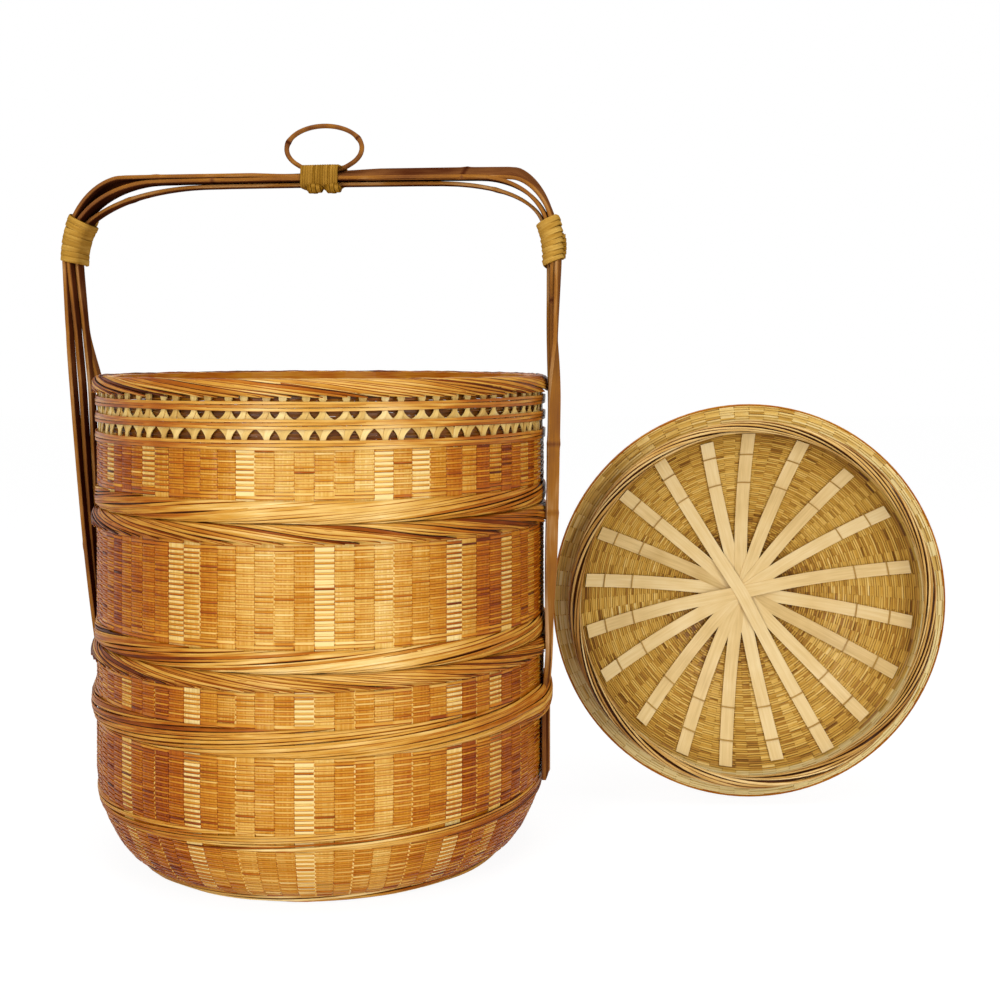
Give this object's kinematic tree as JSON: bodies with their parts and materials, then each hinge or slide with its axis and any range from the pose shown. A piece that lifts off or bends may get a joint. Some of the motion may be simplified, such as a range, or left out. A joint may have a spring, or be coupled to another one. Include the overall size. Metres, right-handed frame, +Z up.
{
  "type": "tiered food basket",
  "caption": "Round woven bamboo food basket in stacked tiers under one arched handle, with openwork under the top rim and a domed lid with crossed splints beside it.",
  "frame": {"origin": "centre of the round bottom on the surface that the basket stands on", "axes": "+Z is up along the basket's axis, +X runs from the left leg of the handle to the right one and on to the lid, -Y faces the viewer"},
  "size_m": [0.6217, 0.2976, 0.4739],
  "materials": {
    "amber_weave": "fine bamboo weaving under glossy varnish",
    "honey_bands": "long bamboo splints under glossy varnish",
    "straw_splints": "pale flat bamboo splints, varnished",
    "brown_bamboo": "split bamboo with its dark skin, varnished",
    "golden_cane": "wound cane, varnished"
  },
  "bodies": {
    "basket": {"base_shell": "amber_weave", "base_bottom_splints": "straw_splints", "base_foot_ring": "honey_bands", "base_lower_band": "honey_bands", "waist_band": "honey_bands", "base_border": "amber_weave", "base_inner_hoop": "brown_bamboo", "handle_outer_strip": "brown_bamboo", "handle_middle_strip": "brown_bamboo", "handle_inner_strip": "brown_bamboo", "left_leg_splint": "honey_bands", "right_leg_splint": "honey_bands", "left_lashing": "golden_cane", "right_lashing": "golden_cane", "right_lashing_knot": "golden_cane", "centre_binding": "golden_cane", "left_binding_knot": "golden_cane", "right_binding_knot": "golden_cane", "hanging_ring": "brown_bamboo"},
    "middle_tray": {"middle_shell": "amber_weave", "middle_foot_band": "honey_bands", "middle_floor_splints": "straw_splints", "middle_border": "amber_weave", "middle_inner_hoop": "brown_bamboo"},
    "top_tray": {"top_shell": "amber_weave", "top_foot_band": "honey_bands", "top_floor_splints": "straw_splints", "top_border": "amber_weave", "top_inner_hoop": "brown_bamboo", "openwork_outer_stakes": "straw_splints", "openwork_inner_stakes": "straw_splints", "openwork_lower_band": "honey_bands", "openwork_middle_band": "honey_bands", "openwork_upper_band": "honey_bands"},
    "lid": {"lid_shell": "honey_bands", "lid_splints": "straw_splints", "lid_collar": "honey_bands", "lid_border": "honey_bands"}
  },
  "joints": [
    {"name": "middle_tray_lift", "type": "slide", "parent": "basket", "child": "middle_tray", "axis": [0, 0, 1], "range_m": [0, 0.028]},
    {"name": "top_tray_lift", "type": "slide", "parent": "middle_tray", "child": "top_tray", "axis": [0, 0, 1], "range_m": [0, 0.028]},
    {"name": "lid_lift", "type": "slide", "parent": "basket", "child": "lid", "axis": [0, 0, 1], "range_m": [0, 0.1]}
  ]
}
